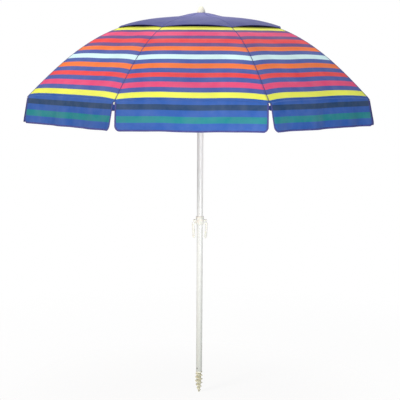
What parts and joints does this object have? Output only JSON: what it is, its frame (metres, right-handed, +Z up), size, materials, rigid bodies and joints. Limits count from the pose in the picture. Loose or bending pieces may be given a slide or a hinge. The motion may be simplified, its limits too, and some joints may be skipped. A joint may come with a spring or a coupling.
{
  "type": "beach umbrella",
  "caption": "Striped octagonal beach umbrella with a vented top, hanging valance, folding ribs, tilt, two-piece white pole, fold-down handles and a screw-in sand anchor.",
  "frame": {"origin": "the auger's tip, on the pole's axis", "axes": "+Z up along the pole; -Y out through the middle of panel 1, the side a viewer faces; the handles hang at -X and +X"},
  "size_m": [1.7052, 1.7052, 2.0559],
  "materials": {
    "white_tube": "satin white enamel on a thin steel tube",
    "ivory_plastic": "moulded ivory plastic",
    "steel": "plated steel",
    "rib_steel": "white coated steel wire",
    "striped_cloth": "plain-woven striped polyester",
    "navy_cloth": "plain-woven navy polyester"
  },
  "bodies": {
    "lower_pole": {"lower_pole": "white_tube", "auger": "ivory_plastic", "auger_rivet": "steel", "handle_collar": "ivory_plastic"},
    "handle_left": {"handle_left": "ivory_plastic"},
    "handle_right": {"handle_right": "ivory_plastic"},
    "middle_pole": {"middle_pole": "white_tube", "tilt_lower": "ivory_plastic", "tilt_pin": "steel"},
    "snap_button": {"snap_button": "steel"},
    "tilt_button": {"tilt_button": "ivory_plastic"},
    "upper_pole": {"upper_pole": "white_tube", "tilt_upper": "ivory_plastic", "crown_hub": "ivory_plastic", "crown_wire": "steel", "finial": "ivory_plastic", "vent_cap": "navy_cloth"},
    "runner": {"runner": "ivory_plastic", "runner_wire": "steel"},
    "runner_catch": {"runner_catch": "steel"},
    "rib_1": {"rib_1": "rib_steel", "rib_tip_1": "ivory_plastic"},
    "stretcher_1": {"stretcher_1": "rib_steel"},
    "gore_1": {"gore_1": "striped_cloth"},
    "valance_1": {"valance_1": "striped_cloth"},
    "rib_2": {"rib_2": "rib_steel", "rib_tip_2": "ivory_plastic"},
    "stretcher_2": {"stretcher_2": "rib_steel"},
    "gore_2": {"gore_2": "striped_cloth"},
    "valance_2": {"valance_2": "striped_cloth"},
    "rib_3": {"rib_3": "rib_steel", "rib_tip_3": "ivory_plastic"},
    "stretcher_3": {"stretcher_3": "rib_steel"},
    "gore_3": {"gore_3": "striped_cloth"},
    "valance_3": {"valance_3": "striped_cloth"},
    "rib_4": {"rib_4": "rib_steel", "rib_tip_4": "ivory_plastic"},
    "stretcher_4": {"stretcher_4": "rib_steel"},
    "gore_4": {"gore_4": "striped_cloth"},
    "valance_4": {"valance_4": "striped_cloth"},
    "rib_5": {"rib_5": "rib_steel", "rib_tip_5": "ivory_plastic"},
    "stretcher_5": {"stretcher_5": "rib_steel"},
    "gore_5": {"gore_5": "striped_cloth"},
    "valance_5": {"valance_5": "striped_cloth"},
    "rib_6": {"rib_6": "rib_steel", "rib_tip_6": "ivory_plastic"},
    "stretcher_6": {"stretcher_6": "rib_steel"},
    "gore_6": {"gore_6": "striped_cloth"},
    "valance_6": {"valance_6": "striped_cloth"},
    "rib_7": {"rib_7": "rib_steel", "rib_tip_7": "ivory_plastic"},
    "stretcher_7": {"stretcher_7": "rib_steel"},
    "gore_7": {"gore_7": "striped_cloth"},
    "valance_7": {"valance_7": "striped_cloth"},
    "rib_8": {"rib_8": "rib_steel", "rib_tip_8": "ivory_plastic"},
    "stretcher_8": {"stretcher_8": "rib_steel"},
    "gore_8": {"gore_8": "striped_cloth"},
    "valance_8": {"valance_8": "striped_cloth"}
  },
  "joints": [
    {"name": "pole_slide", "type": "slide", "parent": "lower_pole", "child": "middle_pole", "axis": [0, 0, 1], "range_m": [0, 0.2], "deforming": ["snap_button"]},
    {"name": "tilt_hinge", "type": "hinge", "parent": "middle_pole", "child": "upper_pole", "pos_m": [0, 0, 1.53], "axis": [0, 1, 0], "range_deg": [-35, 0]},
    {"name": "runner_slide", "type": "slide", "parent": "upper_pole", "child": "runner", "axis": [0, 0, -1], "range_m": [0, 0.52261], "deforming": ["vent_cap", "gore_1", "gore_2", "gore_3", "gore_4", "gore_5", "gore_6", "gore_7", "gore_8", "valance_1", "valance_2", "valance_3", "valance_4", "valance_5", "valance_6", "valance_7", "valance_8", "runner_catch"]},
    {"name": "handle_left_fold", "type": "hinge", "parent": "lower_pole", "child": "handle_left", "pos_m": [-0.0305, 0, 0.9345], "axis": [0, 1, 0], "range_deg": [0, 90]},
    {"name": "handle_right_fold", "type": "hinge", "parent": "lower_pole", "child": "handle_right", "pos_m": [0.0305, 0, 0.9345], "axis": [0, -1, 0], "range_deg": [0, 90]},
    {"name": "snap_button_press", "type": "slide", "parent": "middle_pole", "child": "snap_button", "axis": [0, -1, 0], "range_m": [0, 0.0088]},
    {"name": "tilt_button_press", "type": "slide", "parent": "middle_pole", "child": "tilt_button", "axis": [0, 1, 0], "range_m": [0, 0.0025]},
    {"name": "runner_catch_press", "type": "hinge", "parent": "upper_pole", "child": "runner_catch", "pos_m": [0, 0.0134, 1.6308], "axis": [1, 0, 0], "range_deg": [0, 25]},
    {"name": "rib_1_hinge", "type": "hinge", "parent": "upper_pole", "child": "rib_1", "pos_m": [-0.01014, -0.02448, 1.995], "axis": [0.9239, -0.3827, 0], "range_deg": [0, 61.02]},
    {"name": "rib_2_hinge", "type": "hinge", "parent": "upper_pole", "child": "rib_2", "pos_m": [0.01014, -0.02448, 1.995], "axis": [0.9239, 0.3827, 0], "range_deg": [0, 61.02]},
    {"name": "rib_3_hinge", "type": "hinge", "parent": "upper_pole", "child": "rib_3", "pos_m": [0.02448, -0.01014, 1.995], "axis": [0.3827, 0.9239, 0], "range_deg": [0, 61.02]},
    {"name": "rib_4_hinge", "type": "hinge", "parent": "upper_pole", "child": "rib_4", "pos_m": [0.02448, 0.01014, 1.995], "axis": [-0.3827, 0.9239, 0], "range_deg": [0, 61.02]},
    {"name": "rib_5_hinge", "type": "hinge", "parent": "upper_pole", "child": "rib_5", "pos_m": [0.01014, 0.02448, 1.995], "axis": [-0.9239, 0.3827, 0], "range_deg": [0, 61.02]},
    {"name": "rib_6_hinge", "type": "hinge", "parent": "upper_pole", "child": "rib_6", "pos_m": [-0.01014, 0.02448, 1.995], "axis": [-0.9239, -0.3827, 0], "range_deg": [0, 61.02]},
    {"name": "rib_7_hinge", "type": "hinge", "parent": "upper_pole", "child": "rib_7", "pos_m": [-0.02448, 0.01014, 1.995], "axis": [-0.3827, -0.9239, 0], "range_deg": [0, 61.02]},
    {"name": "rib_8_hinge", "type": "hinge", "parent": "upper_pole", "child": "rib_8", "pos_m": [-0.02448, -0.01014, 1.995], "axis": [0.3827, -0.9239, 0], "range_deg": [0, 61.02]},
    {"name": "stretcher_1_hinge", "type": "hinge", "parent": "rib_1", "child": "stretcher_1", "pos_m": [-0.15915, -0.38422, 1.92728], "axis": [0.9239, -0.3827, 0], "range_deg": [-106.4, 0]},
    {"name": "stretcher_2_hinge", "type": "hinge", "parent": "rib_2", "child": "stretcher_2", "pos_m": [0.15915, -0.38422, 1.92728], "axis": [0.9239, 0.3827, 0], "range_deg": [-106.4, 0]},
    {"name": "stretcher_3_hinge", "type": "hinge", "parent": "rib_3", "child": "stretcher_3", "pos_m": [0.38422, -0.15915, 1.92728], "axis": [0.3827, 0.9239, 0], "range_deg": [-106.4, 0]},
    {"name": "stretcher_4_hinge", "type": "hinge", "parent": "rib_4", "child": "stretcher_4", "pos_m": [0.38422, 0.15915, 1.92728], "axis": [-0.3827, 0.9239, 0], "range_deg": [-106.4, 0]},
    {"name": "stretcher_5_hinge", "type": "hinge", "parent": "rib_5", "child": "stretcher_5", "pos_m": [0.15915, 0.38422, 1.92728], "axis": [-0.9239, 0.3827, 0], "range_deg": [-106.4, 0]},
    {"name": "stretcher_6_hinge", "type": "hinge", "parent": "rib_6", "child": "stretcher_6", "pos_m": [-0.15915, 0.38422, 1.92728], "axis": [-0.9239, -0.3827, 0], "range_deg": [-106.4, 0]},
    {"name": "stretcher_7_hinge", "type": "hinge", "parent": "rib_7", "child": "stretcher_7", "pos_m": [-0.38422, 0.15915, 1.92728], "axis": [-0.3827, -0.9239, 0], "range_deg": [-106.4, 0]},
    {"name": "stretcher_8_hinge", "type": "hinge", "parent": "rib_8", "child": "stretcher_8", "pos_m": [-0.38422, -0.15915, 1.92728], "axis": [0.3827, -0.9239, 0], "range_deg": [-106.4, 0]},
    {"name": "gore_1_hinge", "type": "hinge", "parent": "rib_1", "child": "gore_1", "pos_m": [0, -0.02868, 1.995], "axis": [0, 0.8784, -0.478], "range_deg": [0, 44.82]},
    {"name": "gore_2_hinge", "type": "hinge", "parent": "rib_2", "child": "gore_2", "pos_m": [0.02028, -0.02028, 1.995], "axis": [-0.6211, 0.6211, -0.478], "range_deg": [0, 44.82]},
    {"name": "gore_3_hinge", "type": "hinge", "parent": "rib_3", "child": "gore_3", "pos_m": [0.02868, 0, 1.995], "axis": [-0.8784, 0, -0.478], "range_deg": [0, 44.82]},
    {"name": "gore_4_hinge", "type": "hinge", "parent": "rib_4", "child": "gore_4", "pos_m": [0.02028, 0.02028, 1.995], "axis": [-0.6211, -0.6211, -0.478], "range_deg": [0, 44.82]},
    {"name": "gore_5_hinge", "type": "hinge", "parent": "rib_5", "child": "gore_5", "pos_m": [0, 0.02868, 1.995], "axis": [0, -0.8784, -0.478], "range_deg": [0, 44.82]},
    {"name": "gore_6_hinge", "type": "hinge", "parent": "rib_6", "child": "gore_6", "pos_m": [-0.02028, 0.02028, 1.995], "axis": [0.6211, -0.6211, -0.478], "range_deg": [0, 44.82]},
    {"name": "gore_7_hinge", "type": "hinge", "parent": "rib_7", "child": "gore_7", "pos_m": [-0.02868, 0, 1.995], "axis": [0.8784, 0, -0.478], "range_deg": [0, 44.82]},
    {"name": "gore_8_hinge", "type": "hinge", "parent": "rib_8", "child": "gore_8", "pos_m": [-0.02028, -0.02028, 1.995], "axis": [0.6211, 0.6211, -0.478], "range_deg": [0, 44.82]},
    {"name": "valance_1_slide", "type": "slide", "parent": "upper_pole", "child": "valance_1", "axis": [0, 0.8418, -0.5398], "range_m": [0, 0.89538]},
    {"name": "valance_2_slide", "type": "slide", "parent": "upper_pole", "child": "valance_2", "axis": [-0.5953, 0.5953, -0.5398], "range_m": [0, 0.89538]},
    {"name": "valance_3_slide", "type": "slide", "parent": "upper_pole", "child": "valance_3", "axis": [-0.8418, 0, -0.5398], "range_m": [0, 0.89538]},
    {"name": "valance_4_slide", "type": "slide", "parent": "upper_pole", "child": "valance_4", "axis": [-0.5953, -0.5953, -0.5398], "range_m": [0, 0.89538]},
    {"name": "valance_5_slide", "type": "slide", "parent": "upper_pole", "child": "valance_5", "axis": [0, -0.8418, -0.5398], "range_m": [0, 0.89538]},
    {"name": "valance_6_slide", "type": "slide", "parent": "upper_pole", "child": "valance_6", "axis": [0.5953, -0.5953, -0.5398], "range_m": [0, 0.89538]},
    {"name": "valance_7_slide", "type": "slide", "parent": "upper_pole", "child": "valance_7", "axis": [0.8418, 0, -0.5398], "range_m": [0, 0.89538]},
    {"name": "valance_8_slide", "type": "slide", "parent": "upper_pole", "child": "valance_8", "axis": [0.5953, 0.5953, -0.5398], "range_m": [0, 0.89538]}
  ],
  "couplings": [
    {"joint": "rib_1_hinge", "follows": "runner_slide", "rad_per_m": 2.0372},
    {"joint": "rib_2_hinge", "follows": "runner_slide", "rad_per_m": 2.0372},
    {"joint": "rib_3_hinge", "follows": "runner_slide", "rad_per_m": 2.0372},
    {"joint": "rib_4_hinge", "follows": "runner_slide", "rad_per_m": 2.0372},
    {"joint": "rib_5_hinge", "follows": "runner_slide", "rad_per_m": 2.0372},
    {"joint": "rib_6_hinge", "follows": "runner_slide", "rad_per_m": 2.0372},
    {"joint": "rib_7_hinge", "follows": "runner_slide", "rad_per_m": 2.0372},
    {"joint": "rib_8_hinge", "follows": "runner_slide", "rad_per_m": 2.0372},
    {"joint": "stretcher_1_hinge", "follows": "runner_slide", "rad_per_m": -3.5526},
    {"joint": "stretcher_2_hinge", "follows": "runner_slide", "rad_per_m": -3.5526},
    {"joint": "stretcher_3_hinge", "follows": "runner_slide", "rad_per_m": -3.5526},
    {"joint": "stretcher_4_hinge", "follows": "runner_slide", "rad_per_m": -3.5526},
    {"joint": "stretcher_5_hinge", "follows": "runner_slide", "rad_per_m": -3.5526},
    {"joint": "stretcher_6_hinge", "follows": "runner_slide", "rad_per_m": -3.5526},
    {"joint": "stretcher_7_hinge", "follows": "runner_slide", "rad_per_m": -3.5526},
    {"joint": "stretcher_8_hinge", "follows": "runner_slide", "rad_per_m": -3.5526},
    {"joint": "gore_1_hinge", "follows": "runner_slide", "rad_per_m": 1.4961},
    {"joint": "gore_2_hinge", "follows": "runner_slide", "rad_per_m": 1.4961},
    {"joint": "gore_3_hinge", "follows": "runner_slide", "rad_per_m": 1.4961},
    {"joint": "gore_4_hinge", "follows": "runner_slide", "rad_per_m": 1.4961},
    {"joint": "gore_5_hinge", "follows": "runner_slide", "rad_per_m": 1.4961},
    {"joint": "gore_6_hinge", "follows": "runner_slide", "rad_per_m": 1.4961},
    {"joint": "gore_7_hinge", "follows": "runner_slide", "rad_per_m": 1.4961},
    {"joint": "gore_8_hinge", "follows": "runner_slide", "rad_per_m": 1.4961},
    {"joint": "valance_1_slide", "follows": "runner_slide", "ratio": 1.7127},
    {"joint": "valance_2_slide", "follows": "runner_slide", "ratio": 1.7127},
    {"joint": "valance_3_slide", "follows": "runner_slide", "ratio": 1.7127},
    {"joint": "valance_4_slide", "follows": "runner_slide", "ratio": 1.7127},
    {"joint": "valance_5_slide", "follows": "runner_slide", "ratio": 1.7127},
    {"joint": "valance_6_slide", "follows": "runner_slide", "ratio": 1.7127},
    {"joint": "valance_7_slide", "follows": "runner_slide", "ratio": 1.7127},
    {"joint": "valance_8_slide", "follows": "runner_slide", "ratio": 1.7127}
  ]
}
